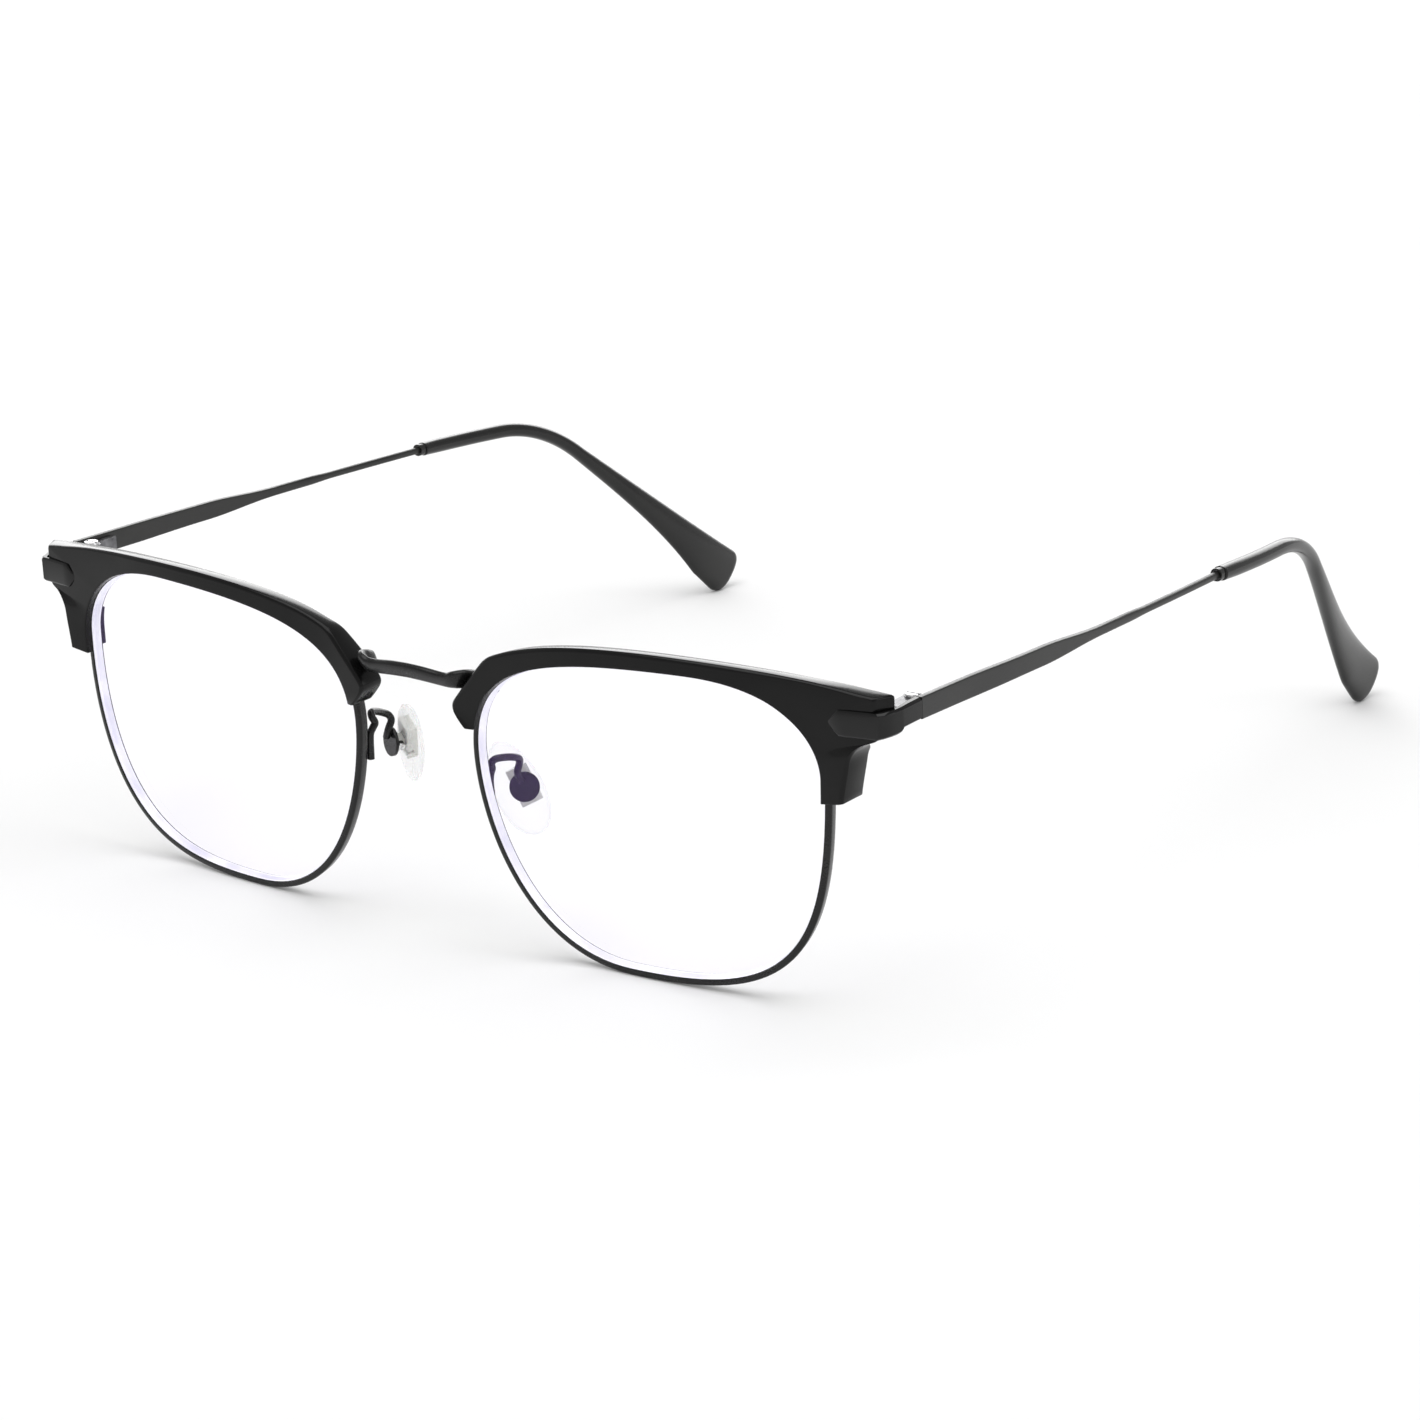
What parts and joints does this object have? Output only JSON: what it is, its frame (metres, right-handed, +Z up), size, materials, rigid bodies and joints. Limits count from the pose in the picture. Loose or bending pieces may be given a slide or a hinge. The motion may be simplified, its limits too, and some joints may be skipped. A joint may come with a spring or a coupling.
{
  "type": "half rim eyeglasses",
  "caption": "Eyeglasses with black browline bars over thin metal rims, clear lenses, folding temples with curved ear tips and rocking silicone nose pads.",
  "frame": {"origin": "centre of the footprint on the table the rims and ear tips rest on, temples open", "axes": "+X towards the wearer's left, -Y out of the lens fronts, +Z up; -X to +X is the frame's width"},
  "size_m": [0.1452, 0.1508, 0.0447],
  "materials": {
    "brow_plastic": "black, satin gloss",
    "black_metal": "black lacquer, satin gloss",
    "plate_metal": "black lacquer, high gloss",
    "hinge_metal": "dark lacquer, satin",
    "screw_steel": "bare steel, satin",
    "dark_screw": "dark lacquer, satin",
    "tip_plastic": "black acetate, satin gloss",
    "lens_clear": "clear, thin violet coating seen at the edge",
    "pad_silicone": "clear soft silicone",
    "pad_core_plastic": "milky white, satin"
  },
  "bodies": {
    "front": {"bridge": "black_metal", "brow_bar_left": "brow_plastic", "rim_left": "black_metal", "lens_left": "lens_clear", "rim_lock_left": "black_metal", "lock_screw_left": "dark_screw", "brow_lugs_left": "black_metal", "brow_screws_left": "dark_screw", "end_bracket_left": "black_metal", "corner_plate_left": "plate_metal", "hinge_front_left": "hinge_metal", "hinge_screw_left": "screw_steel", "pad_arm_left": "black_metal", "pad_box_left": "black_metal", "pad_screw_left": "screw_steel", "brow_bar_right": "brow_plastic", "rim_right": "black_metal", "lens_right": "lens_clear", "rim_lock_right": "black_metal", "lock_screw_right": "dark_screw", "brow_lugs_right": "black_metal", "brow_screws_right": "dark_screw", "end_bracket_right": "black_metal", "corner_plate_right": "plate_metal", "hinge_front_right": "hinge_metal", "hinge_screw_right": "screw_steel", "pad_arm_right": "black_metal", "pad_box_right": "black_metal", "pad_screw_right": "screw_steel"},
    "temple_arm_left": {"temple_left": "black_metal", "hinge_rear_left": "hinge_metal", "ear_tip_left": "tip_plastic"},
    "nose_rest_left": {"pad_core_left": "pad_core_plastic", "nose_pad_left": "pad_silicone"},
    "temple_arm_right": {"temple_right": "black_metal", "hinge_rear_right": "hinge_metal", "ear_tip_right": "tip_plastic"},
    "nose_rest_right": {"pad_core_right": "pad_core_plastic", "nose_pad_right": "pad_silicone"}
  },
  "joints": [
    {"name": "temple_fold_left", "type": "hinge", "parent": "front", "child": "temple_arm_left", "pos_m": [0.0701, -0.06131, 0.03955], "axis": [0, 0, 1], "range_deg": [0, 83]},
    {"name": "temple_fold_right", "type": "hinge", "parent": "front", "child": "temple_arm_right", "pos_m": [-0.0701, -0.06131, 0.03955], "axis": [0, 0, -1], "range_deg": [0, 88]},
    {"name": "pad_rock_left", "type": "hinge", "parent": "front", "child": "nose_rest_left", "pos_m": [0.01086, -0.06549, 0.0199], "axis": [-0.6422, -0.6705, -0.3715], "range_deg": [-8, 8]},
    {"name": "pad_rock_right", "type": "hinge", "parent": "front", "child": "nose_rest_right", "pos_m": [-0.01111, -0.06531, 0.02244], "axis": [-0.8234, 0.3787, 0.4226], "range_deg": [-8, 8]}
  ]
}
